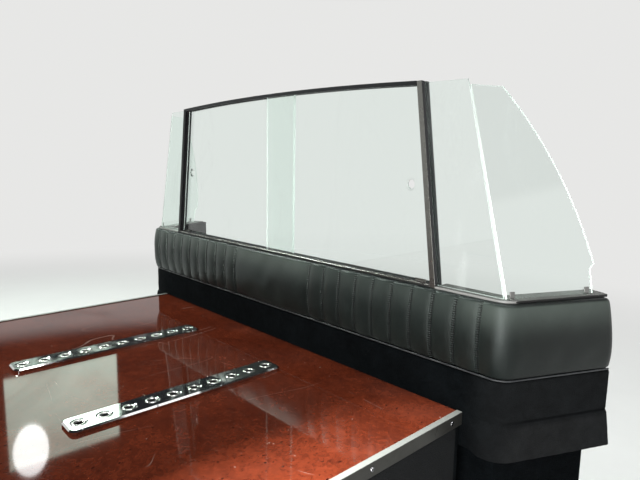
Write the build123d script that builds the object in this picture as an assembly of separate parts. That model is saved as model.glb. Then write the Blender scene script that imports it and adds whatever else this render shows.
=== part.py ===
from build123d import *
import os
from math import cos, radians, sin, sqrt, tan

# Casket bay of a hearse: the burl casket deck and the glazed partition behind the cab.
# Millimetres. X runs across the vehicle, Y forward and Z up from the floor under the bay.
# While it is built, y = 0 is the partition's line. "Depth" is the distance forward of that
# line, measured square to it, on the centre and on the two wings alike.

# Deck box
deck_height = 330.0  # floor to the burl surface
deck_half_width = 588.0  # centre line to the trim's outer face
deck_length = 2300.0
deck_board = 19.0  # plywood with its laminate
deck_wall = 18.0  # side and end walls with their carpet
wall_inset = 4.0  # trim's outer face to the carpet
seat_gap = 0.3  # between pieces that are pushed together

# Aluminium edge trim
trim_sheet = 2.0
trim_drop = 25.0  # height of its outer leg
trim_lap = 12.0  # width of its upper leg
trim_nose = 1.5  # radius of its outer corner

# Deck bearers, under the board
bearer_width = 38.0
bearer_height = 90.0
bearer_end_space = 260.0  # deck's ends to the bearers nearest to them

# Floor brackets inside the box
bracket_leg = 60.0
bracket_foot = 50.0
bracket_width = 60.0
bracket_sheet = 5.0
bracket_hole = 5.5  # radius
bracket_end_space = 150.0  # deck's end to the bracket's centre

# Bier pin plates, two in front and two behind
plate_length = 448.0
plate_width = 58.0
plate_thickness = 8.0
plate_corner = 12.0
plate_bevel = 3.0
plate_spacing = 350.0  # centre to centre
plate_front_space = 126.0  # deck's front end to the front plates
plate_rear_space = 126.0  # deck's rear end to the rear plates
pin_count = 10
pin_pitch = 44.8
pin_hole = 7.5  # radius
pin_dish = 15.0  # radius of the dished ring round each hole
pin_dish_depth = 2.5

# Casket rollers in their trays
roller_radius = 22.0
roller_length = 170.0
roller_proud = 8.0  # above the burl surface
roller_edge = 4.0
roller_spacing = 600.0  # left roller's centre to the right one's
roller_stations = 3
roller_first = 824.0  # deck's front end to the first pair
roller_pitch = 370.0
axle_radius = 6.0
axle_clearance = 0.08
axle_seat = 8.0  # how far an axle reaches into the tray's end
tray_gap = 5.0  # roller to tray
tray_sheet = 3.0
tray_end = 12.0  # thickness of the tray's ends, which carry the axle
tray_flange = 12.0
tray_flange_thickness = 2.0
tray_corner = 10.0
tray_floor_gap = 6.0
pocket_gap = 0.3

# Loading roller across the tail
tail_radius = 25.0
tail_end_space = 138.0  # trim's outer face to the roller's end
tail_proud = 4.0
tail_gap = 8.0  # deck's tail wall to the roller
tail_bracket = 8.0
tail_bracket_height = 70.0
tail_side_gap = 5.0
tail_nose = 22.0  # bracket's metal round the axle

# Partition, in plan
corner_half_width = 657.0  # centre line to the bend
bend_radius = 32.0
sharp_bend = 2.0
wing_angle = radians(25.0)  # outward from straight ahead
wing_length = 242.0

# Partition, in height
pad_top = 552.0
pad_height = 137.0
pad_proud = 8.0  # rearward of the partition's line
pad_front = 26.0  # depth of the board behind it
pad_round = 9.0
piping_radius = 2.5
piping_inset = 3.0  # pad's face to the piping's middle
board_thickness = 18.0
riser_proud = 6.0  # carpeted riser, rearward of the partition's line
riser_drop = 68.0  # deck's surface to the riser's lower edge
kick_thickness = 18.0
kick_top = 330.0

# Pleats sewn in the pad
seam_first = 157.0  # centre line to the first seam
pleat_pitch = 50.8
pleat_count = 9
seam_width = 7.0
seam_depth = 4.0

# Window tracks, posts and glass
track_rear = 2.0  # depth of the track's rear face
track_width = 26.0
track_height = 8.0
groove_width = 7.0
groove_depth = 6.0
rear_groove = 3.0  # track's rear face to the right pane's groove
front_groove = 14.0
window_height = 388.0  # pad's top to the head track, at the posts
head_rise = 12.0  # how much higher the arched head is on the centre line
quarter_rise = 5.0  # quarter pane's head above the head track's ends
quarter_span = 155.0  # the bend to the post's middle, at its foot
post_lean = 52.0  # how far the post's head leans in, at the head track
post_width = 12.0
post_groove = 4.0
outer_groove_offset = 10.0  # track's rear face to the fixed pane's groove
outer_groove_width = 5.4
outer_groove_depth = 4.0
pane_thickness = 6.0
pane_float = 1.5  # sliding pane's edge to the post's groove
pane_lift = 0.3
pane_head = 4.0  # how far a sliding pane reaches into the head track
left_pane_edge = 66.0  # inner edge of the left pane, right of the centre line
right_pane_edge = -31.0
finger_hole = 9.0  # radius
finger_dish = 13.5  # radius of the ground ring round the hole
finger_dish_depth = 2.0
left_finger_inset = 43.0  # post's middle to the hole's, at the hole's height
right_finger_inset = 39.0
finger_height = 199.0  # above the pad's top
fixed_pane = 4.6
corner_angle = radians(14.0)  # inward lean of the glass at the bends
corner_pane_height = 386.0
glass_gap = 2.0
cap_thickness = 5.0
cap_edge = 1.0  # depth of the cap's rear edge
cap_short = 18.0  # sill cap's end back from the wing's end
side_foot = 199.0  # side pane's length on the sill
side_notch_height = 45.0
side_notch_reach = 209.0
side_notch_top = 54.0
side_bow = 148.0  # along the wing to its edge, half way up
side_bow_height = 221.0
side_head = 36.0  # along the wing to its edge, at the top
side_head_height = 384.0
clip_width = 10.0
clip_sheet = 2.0
clip_height = 14.0
clip_foot = 9.0
clip_rear = 14.0  # along the wing to each clip
clip_front = 178.0

deck_front = -riser_proud - seat_gap
deck_rear = deck_front - deck_length
board_bottom = deck_height - deck_board
wall_outer = deck_half_width - wall_inset
wall_inner = wall_outer - deck_wall
riser_bottom = deck_height - riser_drop
pad_bottom = pad_top - pad_height
riser_top = pad_bottom - 2 * piping_radius
kick_depth = pad_front + board_thickness
track_front = track_rear + track_width
groove_offsets = (rear_groove, front_groove)
post_half_span = corner_half_width - quarter_span
post_head_span = post_half_span - post_lean
head_radius = (post_head_span**2 + head_rise**2) / (2 * head_rise)
corner_lean = tan(corner_angle)  # per unit of height
roller_axis = deck_height + roller_proud - roller_radius
tail_length = 2 * (deck_half_width - tail_end_space)
tail_axis_y = deck_rear - tail_gap - tail_radius
tail_axis_z = deck_height + tail_proud - tail_radius
bay_front = wing_length * cos(wing_angle) + (kick_depth + kick_thickness) * sin(wing_angle)
bay_rear = tail_axis_y - tail_radius
mid_y = (bay_front + bay_rear) / 2

os.makedirs("parts", exist_ok=True)


def save(name, *shapes):
    """Writes one sub-part, moved so that the origin is under the middle of the bay."""
    solids = [solid for shape in shapes for solid in shape.solids()]
    body = solids[0] if len(solids) == 1 else Compound(solids)
    export_step(Pos(0, -mid_y, 0) * body, f"parts/{name}.step")


def block(x0, x1, y0, y1, z0, z1):
    return Pos((x0 + x1) / 2, (y0 + y1) / 2, (z0 + z1) / 2) * Box(x1 - x0, y1 - y0, z1 - z0)


def rod(radius, length, x, y, z):
    """A round bar along X about its middle."""
    return Pos(x, y, z) * Rot(0, 90, 0) * Cylinder(radius, length)


def other_side(shape):
    return mirror(shape, about=Plane.YZ)


def save_pair(name, right):
    save(name + "_right", right)
    save(name + "_left", other_side(right))


# Plan lines of the partition


def corner_x(depth):
    return corner_half_width - depth * (1 - sin(wing_angle)) / cos(wing_angle)


def wing_point(depth, along):
    x = corner_half_width + along * sin(wing_angle) - depth * cos(wing_angle)
    y = along * cos(wing_angle) + depth * sin(wing_angle)
    return x, y


def bend_line(depth, wing, start=None):
    """The partition's line in plan: all of it, or the right half from x = start."""
    end_x, end_y = wing_point(depth, wing)
    points = [(corner_x(depth), depth), (end_x, end_y)]
    first = [(-end_x, end_y), (-corner_x(depth), depth)] if start is None else [(start, depth)]
    return FilletPolyline(*first, *points, radius=max(bend_radius - depth, sharp_bend))


def band(rear, front, z0, z1, wing=wing_length, start=None):
    """An upright board that follows the partition between two depths."""
    outer, inner = bend_line(rear, wing, start), bend_line(front, wing, start)
    edges = [*outer.edges(), *inner.edges(), *Line(outer @ 0, inner @ 0).edges()]
    edges += Line(outer @ 1, inner @ 1).edges()
    return Pos(0, 0, z0) * extrude(make_face(edges), amount=z1 - z0)


def along_partition(depth, height, section):
    """Sweeps a section, drawn as (up, rearward), along the partition."""
    path = Pos(0, 0, height) * bend_line(depth, wing_length)
    start = Plane(origin=path @ 0, x_dir=(0, 0, 1), z_dir=path % 0)
    return sweep(start * section, path=path)


# Deck


def deck_board_panel():
    half = deck_half_width - trim_sheet
    panel = block(-half, half, deck_rear, deck_front, board_bottom, deck_height)
    pocket_x = roller_length / 2 + tray_gap + tray_end + pocket_gap
    pocket_y = roller_radius + tray_gap + tray_sheet + pocket_gap
    for x, y in roller_places():
        panel -= block(
            x - pocket_x, x + pocket_x, y - pocket_y, y + pocket_y, board_bottom, deck_height
        )
    return panel


def deck_wall_panel():
    return block(wall_inner, wall_outer, deck_rear, deck_front, 0, board_bottom)


def deck_end_panel(y0):
    return block(-wall_inner, wall_inner, y0, y0 + deck_wall, 0, board_bottom)


def deck_bearers():
    """Cross bars near both ends, between the rows of rollers and on either side of them."""
    z0 = board_bottom - bearer_height
    places = [deck_front - bearer_end_space, deck_rear + bearer_end_space]
    places += [y + roller_pitch / 2 for y in roller_rows()]
    places += [roller_rows()[-1] - roller_pitch / 2]
    half = bearer_width / 2
    return [block(-wall_inner, wall_inner, y - half, y + half, z0, board_bottom) for y in places]


def edge_trim():
    """An angle over the deck's long edge, its upper leg lapping the laminate."""
    x1, z1 = deck_half_width, deck_height + trim_sheet
    length = (deck_rear, deck_front)
    outer = block(x1 - trim_lap, x1, *length, z1 - trim_drop, z1)
    nose = outer.edges().filter_by(Axis.Y).sort_by(lambda e: e.center().X + e.center().Z)[-1]
    outer = fillet(nose, trim_nose)
    return outer - block(
        x1 - trim_lap, x1 - trim_sheet, *length, z1 - trim_drop, z1 - trim_sheet
    )


def tail_trim():
    """The same angle across the tail, between the long ones."""
    x1, z1 = deck_half_width - trim_lap - seat_gap, deck_height + trim_sheet
    y0 = deck_rear - trim_sheet
    outer = block(-x1, x1, y0, y0 + trim_lap, z1 - trim_drop, z1)
    return outer - block(-x1, x1, deck_rear, y0 + trim_lap, z1 - trim_drop, deck_height)


def floor_brackets():
    brackets = []
    for y in (deck_front - bracket_end_space, deck_rear + bracket_end_space):
        y0, y1 = y - bracket_width / 2, y + bracket_width / 2
        angle = block(wall_inner - bracket_foot, wall_inner, y0, y1, 0, bracket_sheet)
        angle += block(wall_inner - bracket_sheet, wall_inner, y0, y1, 0, bracket_leg)
        hole = Pos(bracket_hole_x(), y, 0) * Cylinder(bracket_hole, 4 * bracket_sheet)
        brackets += [angle - hole, other_side(angle - hole)]
    return brackets


def bracket_hole_x():
    return wall_inner - (bracket_foot + bracket_sheet) / 2


def pin_plate(front_end):
    """A bevelled bar with a row of dished pin holes."""
    y = front_end - plate_length / 2
    outline = RectangleRounded(plate_width, plate_length, plate_corner)
    bar = Pos(plate_spacing / 2, y, deck_height) * extrude(outline, amount=plate_thickness)
    rim = bar.faces().sort_by(Axis.Z)[-1].edges()
    bar = chamfer(rim, plate_bevel)
    top = deck_height + plate_thickness
    hole = Cylinder(pin_hole, 4 * plate_thickness)
    slope_radius = pin_hole + pin_dish_depth / 2
    dish = Pos(0, 0, top - pin_dish_depth / 2) * Cone(slope_radius, pin_dish, pin_dish_depth)
    for i in range(pin_count):
        place = Pos(plate_spacing / 2, y + pin_pitch * (i - (pin_count - 1) / 2), 0)
        bar -= place * dish
        bar -= place * Pos(0, 0, deck_height) * hole
    return bar


# Rollers


def roller_rows():
    return [deck_front - roller_first - roller_pitch * i for i in range(roller_stations)]


def roller_places():
    """Middle of each roller as (x, y), from the front pair back, right one first."""
    return [(side * roller_spacing / 2, y) for y in roller_rows() for side in (1, -1)]


def casket_roller(x, y):
    drum = rod(roller_radius, roller_length, x, y, roller_axis)
    drum = chamfer(drum.edges().filter_by(GeomType.CIRCLE), roller_edge)
    stub = tray_gap + axle_seat
    return drum + rod(axle_radius, roller_length + 2 * stub, x, y, roller_axis)


def roller_tray(x, y):
    """A pan let into the deck. Its thick ends carry the roller's axle."""
    half_x = roller_length / 2 + tray_gap
    half_y = roller_radius + tray_gap
    floor = roller_axis - roller_radius - tray_floor_gap
    top = deck_height + tray_flange_thickness
    out_x, out_y = half_x + tray_end, half_y + tray_sheet
    pan = block(x - out_x, x + out_x, y - out_y, y + out_y, floor - tray_sheet, deck_height)
    lip = RectangleRounded(2 * (out_x + tray_flange), 2 * (out_y + tray_flange), tray_corner)
    pan += Pos(x, y, deck_height) * extrude(lip, amount=tray_flange_thickness)
    pan -= block(x - half_x, x + half_x, y - half_y, y + half_y, floor, top)
    bore = 2 * (half_x + axle_seat + seat_gap)
    return pan - rod(axle_radius + axle_clearance, bore, x, y, roller_axis)


def tail_roller():
    drum = rod(tail_radius, tail_length, 0, tail_axis_y, tail_axis_z)
    drum = chamfer(drum.edges().filter_by(GeomType.CIRCLE), roller_edge)
    stub = 2 * (tail_side_gap + tail_bracket)
    return drum + rod(axle_radius, tail_length + stub, 0, tail_axis_y, tail_axis_z)


def tail_bracket_plate():
    """A side plate with a round nose, screwed to the tail wall."""
    x0 = tail_length / 2 + tail_side_gap
    z1 = deck_height + trim_sheet - trim_drop
    nose = Pos(tail_axis_y, tail_axis_z) * Circle(tail_nose)
    web = Polyline(
        (deck_rear, z1 - tail_bracket_height),
        (deck_rear, z1),
        (tail_axis_y, z1),
        (tail_axis_y - tail_nose, tail_axis_z),
        close=True,
    )
    plate = extrude(Plane.YZ * (nose + make_face(web.edges())), amount=tail_bracket)
    flange = block(0, bracket_leg, deck_rear - bracket_sheet, deck_rear, z1 - tail_bracket_height, z1)
    hole = rod(axle_radius + axle_clearance, 4 * tail_bracket, 0, tail_axis_y, tail_axis_z)
    return Pos(x0, 0, 0) * (plate + flange - hole)


# Partition, below the glass


def pleated_pad():
    """The upholstered band, with its pleats' seams sunk in its rear face."""
    thick = pad_proud + pad_front
    section = Polyline((0, 0), (pad_height, 0), (pad_height, -thick), (0, -thick), close=True)
    face = make_face(section.edges())
    rear = face.vertices().sort_by(Axis.Y)[-2:]
    pad = along_partition(-pad_proud, pad_bottom, fillet(rear, pad_round))
    half = seam_width / 2
    groove = Polygon((-half, -1), (half, -1), (half / 2, 0), (0, seam_depth), (-half / 2, 0), align=None)
    cutter = Pos(0, -pad_proud, pad_bottom) * extrude(groove, amount=pad_height)
    for i in range(pleat_count + 1):
        x = seam_first + pleat_pitch * i
        pad -= Pos(x, 0, 0) * cutter
        pad -= Pos(-x, 0, 0) * cutter
    return pad


def piping():
    depth = piping_inset - pad_proud
    return along_partition(depth, pad_bottom - piping_radius, Circle(piping_radius))


# Partition, window


def post_x(z):
    """Middle of the right post at a height."""
    return post_half_span - post_lean * (z - pad_top) / window_height


def head_z(x):
    """Lower face of the arched head track."""
    top = pad_top + window_height + head_rise
    return top - head_radius + sqrt(head_radius**2 - x**2)


def sill_track(half):
    track = block(-half, half, track_rear, track_front, pad_top, pad_top + track_height)
    top = pad_top + track_height
    for offset in groove_offsets:
        y0 = track_rear + offset
        track -= block(-half, half, y0, y0 + groove_width, top - groove_depth, top)
    return track


def arch_edge(x0, x1, rise):
    """An edge that follows the head at a height above it."""
    middle = (x0 + x1) / 2
    ends = [(x, head_z(x) + rise) for x in (x0, middle, x1)]
    return ThreePointArc(*ends)


def head_bar(half, height, y0, depth):
    """A bar that follows the arched head."""
    low, high = arch_edge(-half, half, 0), arch_edge(-half, half, height)
    edges = [*low.edges(), *high.edges(), *Line(low @ 0, high @ 0).edges()]
    edges += Line(low @ 1, high @ 1).edges()
    return Pos(0, y0, 0) * extrude(Plane.XZ * make_face(edges), amount=-depth)


def head_track(half):
    track = head_bar(half, track_height, track_rear, track_width)
    for offset in groove_offsets:
        track -= head_bar(half, groove_depth, track_rear + offset, groove_width)
    return track


def post():
    """A leaning channel: two grooves face the sliding panes and one the fixed pane."""
    half = post_width / 2
    section = Rectangle(post_width, track_width, align=(Align.CENTER, Align.MIN))
    for offset in groove_offsets:
        section -= Pos(-half + post_groove / 2, offset + groove_width / 2) * Rectangle(
            post_groove, groove_width
        )
    section -= Pos(half - outer_groove_depth / 2, outer_groove_offset + outer_groove_width / 2) * (
        Rectangle(outer_groove_depth, outer_groove_width)
    )
    lean = Vector(-post_lean, 0, window_height)
    amount = lean.length * (window_height + track_height) / window_height
    foot = Pos(post_half_span, track_rear, pad_top) * section
    return extrude(foot, amount=amount, dir=lean.normalized())


def upright_pane(points, depth, thickness):
    """Glass in a plane square to the vehicle, from an outline of (x, z)."""
    return Pos(0, depth, 0) * extrude(Plane.XZ * Polygon(*points, align=None), amount=-thickness)


def sliding_pane(side, inner_edge, groove, finger_inset):
    """One sliding pane, with its outer edge in the post and a dished finger hole by it."""
    z0 = pad_top + track_height - groove_depth + pane_lift
    z1 = pad_top + window_height + pane_head
    inset = post_width / 2 - post_groove + pane_float
    foot, head = [side * (post_x(z) - inset) for z in (z0, z1)]
    arch = arch_edge(inner_edge, head, pane_head)
    edges = [*arch.edges(), *Line((inner_edge, z0), (foot, z0)).edges()]
    edges += Line((foot, z0), arch @ 1).edges()
    edges += Line(arch @ 0, (inner_edge, z0)).edges()
    depth = track_rear + groove + (groove_width - pane_thickness) / 2
    pane = Pos(0, depth, 0) * extrude(Plane.XZ * make_face(edges), amount=-pane_thickness)
    z_hole = pad_top + finger_height
    place = Pos(side * (post_x(z_hole) - finger_inset), depth, z_hole) * Rot(90, 0, 0)
    bore = Cylinder(finger_hole, 4 * pane_thickness)
    dish = Pos(0, 0, -finger_dish_depth / 2) * Cone(finger_hole, finger_dish, finger_dish_depth)
    return pane - place * bore - place * dish


def fixed_pane_depth():
    return track_rear + outer_groove_offset + (outer_groove_width - fixed_pane) / 2


def glass_foot():
    return pad_top + cap_thickness + pane_lift


def quarter_pane():
    """The fixed pane between the post and the bend."""
    depth = fixed_pane_depth()
    z0 = glass_foot()
    z_post, z_bend = pad_top + window_height + quarter_rise, z0 + corner_pane_height
    edge = post_width / 2 - outer_groove_depth + pane_float
    foot = corner_x(depth + fixed_pane) - glass_gap
    lean = corner_lean * corner_pane_height
    points = [
        (post_x(z0) + edge, z0),
        (foot, z0),
        (foot - lean, z_bend),
        (post_x(z_post) + edge, z_post),
    ]
    return upright_pane(points, depth, fixed_pane)


def wing_plane(depth, z):
    """A plane on the right wing that leans with the glass: x along it, y up, z outward."""
    along = Vector(sin(wing_angle), cos(wing_angle), 0)
    outward = along.cross(Vector(-corner_lean, 0, 1))
    x, y = wing_point(depth, 0)
    return Plane(origin=(x, y, z), x_dir=along, z_dir=outward)


def side_pane():
    """The pane on the wing, whose front edge bows back along the door opening."""
    depth = fixed_pane_depth()
    start = wing_start(depth) + glass_gap
    head = start - corner_lean * sin(wing_angle) * side_head_height
    outline = [
        Line((start, 0), (side_foot, 0)),
        Line((side_foot, 0), (side_foot, side_notch_height)),
        Line((side_foot, side_notch_height), (side_notch_reach, side_notch_top)),
        ThreePointArc(
            (side_notch_reach, side_notch_top),
            (side_bow, side_bow_height),
            (side_head, side_head_height),
        ),
        Line((side_head, side_head_height), (head, side_head_height)),
        Line((head, side_head_height), (start, 0)),
    ]
    face = make_face([edge for part in outline for edge in part.edges()])
    foot = glass_foot() + fixed_pane * corner_lean * cos(wing_angle)
    return extrude(wing_plane(depth, foot) * face, amount=-fixed_pane)


def wing_start(depth):
    """Distance along the wing at which a face of this depth meets the centre's."""
    return depth * (1 - sin(wing_angle)) / cos(wing_angle)


def sill_cap():
    """The ledge that carries the fixed panes, from the post round to the wing's end."""
    start = post_x(pad_top) + post_width / 2 + seat_gap
    length = wing_length - cap_short
    return band(cap_edge, kick_depth, pad_top, pad_top + cap_thickness, length, start)


def glass_clips():
    """Small angles that hold the side pane's foot to the ledge."""
    clips = []
    outer = fixed_pane_depth() - seat_gap
    for place in (clip_rear, clip_front):
        z0 = pad_top + cap_thickness
        foot = Box(clip_width, clip_foot, clip_sheet, align=(Align.MIN, Align.MAX, Align.MIN))
        leg = Box(clip_width, clip_sheet, clip_height, align=(Align.MIN, Align.MAX, Align.MIN))
        x, y = wing_point(outer, place)
        spot = Plane(origin=(x, y, z0), x_dir=(sin(wing_angle), cos(wing_angle), 0))
        clips.append(spot * (foot + leg))
    return clips


def build():
    save("deck_board", deck_board_panel())
    save_pair("deck_wall", deck_wall_panel())
    save("deck_head_wall", deck_end_panel(deck_front - deck_wall))
    save("deck_tail_wall", deck_end_panel(deck_rear))
    save("deck_bearers", *deck_bearers())
    save_pair("edge_trim", edge_trim())
    save("tail_trim", tail_trim())
    save("floor_brackets", *floor_brackets())
    save_pair("pin_plate_front", pin_plate(deck_front - plate_front_space))
    save_pair("pin_plate_rear", pin_plate(deck_rear + plate_rear_space + plate_length))
    save("roller_trays", *[roller_tray(x, y) for x, y in roller_places()])
    for i, (x, y) in enumerate(roller_places()):
        save(f"roller_{i // 2 + 1}_{'left' if x < 0 else 'right'}", casket_roller(x, y))
    save("tail_roller", tail_roller())
    save_pair("tail_bracket", tail_bracket_plate())

    save("pad", pleated_pad())
    save("piping", piping())
    save("riser", band(-riser_proud, pad_front, riser_bottom, riser_top))
    save("partition_board", band(pad_front, kick_depth, riser_bottom, pad_top))
    save("kick_wall", band(kick_depth, kick_depth + kick_thickness, 0, kick_top))
    sill_half = post_x(pad_top + track_height) - post_width / 2 - seat_gap
    head_half = post_x(pad_top + window_height + track_height) - post_width / 2 - seat_gap
    save("sill_track", sill_track(sill_half))
    save("head_track", head_track(head_half))
    save_pair("post", post())
    right = sliding_pane(1, right_pane_edge, rear_groove, right_finger_inset)
    left = sliding_pane(-1, left_pane_edge, front_groove, left_finger_inset)
    save("sliding_pane_right", right)
    save("sliding_pane_left", left)
    save_pair("quarter_pane", quarter_pane())
    save_pair("side_pane", side_pane())
    save_pair("sill_cap", sill_cap())
    save_pair("glass_clips", Compound(glass_clips()))


build()
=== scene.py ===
from math import cos, pi, radians, sin, sqrt, tan

import bpy
import numpy as np
from mathutils import Matrix, Vector


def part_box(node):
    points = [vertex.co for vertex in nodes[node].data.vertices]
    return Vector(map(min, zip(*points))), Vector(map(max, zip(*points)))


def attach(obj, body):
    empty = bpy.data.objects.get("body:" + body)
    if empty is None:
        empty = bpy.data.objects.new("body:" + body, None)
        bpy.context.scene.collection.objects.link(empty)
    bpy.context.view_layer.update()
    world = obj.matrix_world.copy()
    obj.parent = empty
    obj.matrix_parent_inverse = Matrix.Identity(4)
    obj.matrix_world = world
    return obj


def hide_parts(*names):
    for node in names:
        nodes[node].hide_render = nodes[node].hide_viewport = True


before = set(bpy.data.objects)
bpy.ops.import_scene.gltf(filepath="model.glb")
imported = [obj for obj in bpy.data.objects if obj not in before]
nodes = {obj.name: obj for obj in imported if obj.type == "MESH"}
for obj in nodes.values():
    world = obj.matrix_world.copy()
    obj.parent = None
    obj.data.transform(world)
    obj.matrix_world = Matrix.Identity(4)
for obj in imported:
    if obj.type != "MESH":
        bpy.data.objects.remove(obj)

# The casket deck and the glazed partition behind the cab, dressed for the photo's view.
# Metres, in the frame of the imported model. lineY is where the partition's line in plan lies,
# and the riser's face stands riserProud behind it.
scene = bpy.context.scene
scene.view_settings.view_transform = "Standard"
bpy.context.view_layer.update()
riserProud = 0.006
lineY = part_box("riser")[0].y + riserProud
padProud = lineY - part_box("pad")[0].y
padBottom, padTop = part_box("pad")[0].z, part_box("pad")[1].z
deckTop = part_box("deck_board")[1].z
plates = [f"pin_plate_{end}_{side}" for end in ("front", "rear") for side in ("right", "left")]
rollers = [(row, side) for row in (1, 2, 3) for side in ("right", "left")]
rng = np.random.default_rng(7)

# Plan of the partition: half width to the bend, radius of the bend and the wing's angle
plan = {"corner": 0.657, "bend": 0.032, "wing": radians(25), "wingLength": 0.242}
bendTurn = pi / 2 - plan["wing"]
straightHalf = plan["corner"] - plan["bend"] * tan(bendTurn / 2)
bendLength = plan["bend"] * bendTurn
halfLength = straightHalf + bendLength + plan["wingLength"] - plan["bend"] * tan(bendTurn / 2)


def partitionPoint(along, depth):
    # along: from the middle on the partition's line; depth: forward of it
    side = np.where(along < 0, -1.0, 1.0)
    s = np.abs(along)
    turn = np.clip((s - straightHalf) / plan["bend"], 0, bendTurn)
    run = np.clip(s - straightHalf - bendLength, 0, None)
    x = np.minimum(s, straightHalf) + plan["bend"] * np.sin(turn) + run * cos(bendTurn)
    y = plan["bend"] * (1 - np.cos(turn)) + run * sin(bendTurn)
    return side * (x - depth * np.sin(turn)), lineY + y + depth * np.cos(turn)


# Camera and studio

cameraSetup = {
    "place": (1.083, lineY - 0.845, 0.790),
    "turn": 46.81,  # degrees to the left of straight ahead
    "dip": 8.34,
    "roll": 1.0,
    "lens": 29.74,
    "sensor": 36,  # lens and sensor in millimetres
    "clip": (0.02, 200),
}


def placeCamera():
    data = bpy.data.cameras.new("camera")
    data.lens = cameraSetup["lens"]
    data.sensor_width = cameraSetup["sensor"]
    data.clip_start, data.clip_end = cameraSetup["clip"]
    camera = bpy.data.objects.new("camera", data)
    turn = Matrix.Rotation(radians(cameraSetup["turn"]), 4, "Z")
    tip = Matrix.Rotation(radians(90 - cameraSetup["dip"]), 4, "X")
    roll = Matrix.Rotation(radians(cameraSetup["roll"]), 4, "Z")
    camera.matrix_world = Matrix.Translation(cameraSetup["place"]) @ turn @ tip @ roll
    scene.collection.objects.link(camera)
    scene.camera = camera


lamps = {
    # the first two stand where the deck and the plates mirror them at their left end
    "windowBox": {"place": (-3.0, lineY + 0.36, 1.77), "aim": (0, lineY + 0.36, 1.77),
                  "size": (0.80, 0.70), "watts": 6.2, "colour": (0.80, 1, 0.86)},
    "glintBox": {"place": (-2.98, lineY + 0.10, 2.00), "aim": (0, lineY + 0.10, 2.00),
                 "size": (0.24, 0.40), "watts": 2.6, "shape": "ELLIPSE"},
    "grazeBox": {"place": (-2.1, lineY - 0.85, 2.55), "aim": (-0.1, lineY, 0.5),
                 "size": (0.6, 0.5), "watts": 67, "colour": (0.90, 1, 0.93)},
    "topBox": {"place": (0.25, lineY - 0.22, 3.3), "aim": (0.25, lineY - 0.35, 0.3),
               "size": (2.2, 0.9), "watts": 56},
    "wingBox": {"place": (2.1, lineY - 0.3, 2.9), "aim": (0.75, lineY + 0.1, 0.5),
                "size": (0.8, 0.8), "watts": 24},
    "rearBox": {"place": (1.10, lineY - 1.25, 0.42), "aim": (0.62, lineY, 0.50),
                "size": (0.55, 0.8), "watts": 19, "spares": ["studioFloor"]},
    # daylight on the deck's right edge, which ends a hand's width in; no mirror shows its lamp
    "doorBox": {"place": (0.485, lineY - 0.60, 0.61), "aim": (1.435, lineY - 0.60, 0.30),
                "size": (0.78, 0.08), "watts": 26, "mirrored": False,
                "spares": ["studioFloor", "pleatedPad", "padWelt", "padStitches", "riserCarpet",
                           "sill_cap_right"]},
    "bevelBox": {"place": (1.75, lineY + 1.35, 3.3), "aim": (0.2, lineY - 0.35, 0.33),
                 "size": (0.9, 0.9), "watts": 4},
    "cabBox": {"place": (0.6, lineY + 2.4, 1.7), "aim": (0, lineY, 0.5),
               "size": (1.6, 1.0), "watts": 8},
}


def placeLamps():
    for name, setup in lamps.items():
        data = bpy.data.lights.new(name, "AREA")
        data.shape = setup.get("shape", "RECTANGLE")
        data.size, data.size_y = setup["size"]
        data.energy = setup["watts"]
        data.color = setup.get("colour", (1, 1, 1))
        lamp = bpy.data.objects.new(name, data)
        lamp.location = setup["place"]
        aim = Vector(setup["aim"]) - Vector(setup["place"])
        lamp.rotation_euler = aim.to_track_quat("-Z", "Y").to_euler()
        lamp.visible_camera = False
        lamp.visible_transmission = False
        lamp.visible_glossy = setup.get("mirrored", True)
        if "spares" in setup:
            # a lamp close to the object leaves out what it would burn white
            spared = bpy.data.collections.new(name + "Spares")
            for other in setup["spares"]:
                spared.objects.link(nodes[other] if other in nodes else bpy.data.objects[other])
            for entry in spared.collection_objects:
                entry.light_linking.link_state = "EXCLUDE"
            lamp.light_linking.receiver_collection = spared
        scene.collection.objects.link(lamp)


# Pleated pad: what its mesh and its leather share

stitchLook = {
    "pitch": 0.0044,
    "length": 0.0024,
    "radius": 0.0010,
    "offset": 0.0009,  # to the left of its seam
    "first": 0.007,  # above the pad's bottom
    "last": 0.011,  # below its top
    "sides": 6,
}
padShape = {
    "seamFirst": 0.157,
    "pitch": 0.0508,
    "pleats": 9,
    "front": 0.0258,
    "topRound": 0.0052,
    "bottomRound": 0.0050,
    "crown": 0.0080,
    "seamDepth": 0.0042,
    "fullness": 2.4,  # power of a pleat's profile: higher is squarer
    "endRound": 0.020,
    "endSlant": 0.014,
    "panelDip": 1.30,  # of the seam's depth, where a flat panel ends
    "panelFade": 0.0200,
    "wingFade": 0.0085,
    "draw": 0.00030,  # creases beside the seams
    "swell": 0.00030,
    "softDepth": 0.022,  # how far in from the rear face the shape follows it
}
seams = [padShape["seamFirst"] + padShape["pitch"] * i for i in range(padShape["pleats"] + 1)]


# Materials. Object coordinates are metres, so a scale of 500 gives marks of about 2 mm.


class Wire:
    # one output socket, which takes part in sums like a number
    def __init__(self, paint, port):
        self.paint = paint
        self.port = port

    def maths(self, operation, first, second):
        return self.paint.make("ShaderNodeMath", {"operation": operation}, {0: first, 1: second})

    def __add__(self, other):
        return self.maths("ADD", self, other)

    def __radd__(self, other):
        return self.maths("ADD", other, self)

    def __sub__(self, other):
        return self.maths("SUBTRACT", self, other)

    def __rsub__(self, other):
        return self.maths("SUBTRACT", other, self)

    def __mul__(self, other):
        return self.maths("MULTIPLY", self, other)

    def __rmul__(self, other):
        return self.maths("MULTIPLY", other, self)

    def __pow__(self, other):
        return self.maths("POWER", self, other)

    def __gt__(self, other):
        return self.maths("GREATER_THAN", self, other)

    def __lt__(self, other):
        return self.maths("LESS_THAN", self, other)

    def __abs__(self):
        return self.maths("ABSOLUTE", self, 0)


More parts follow.
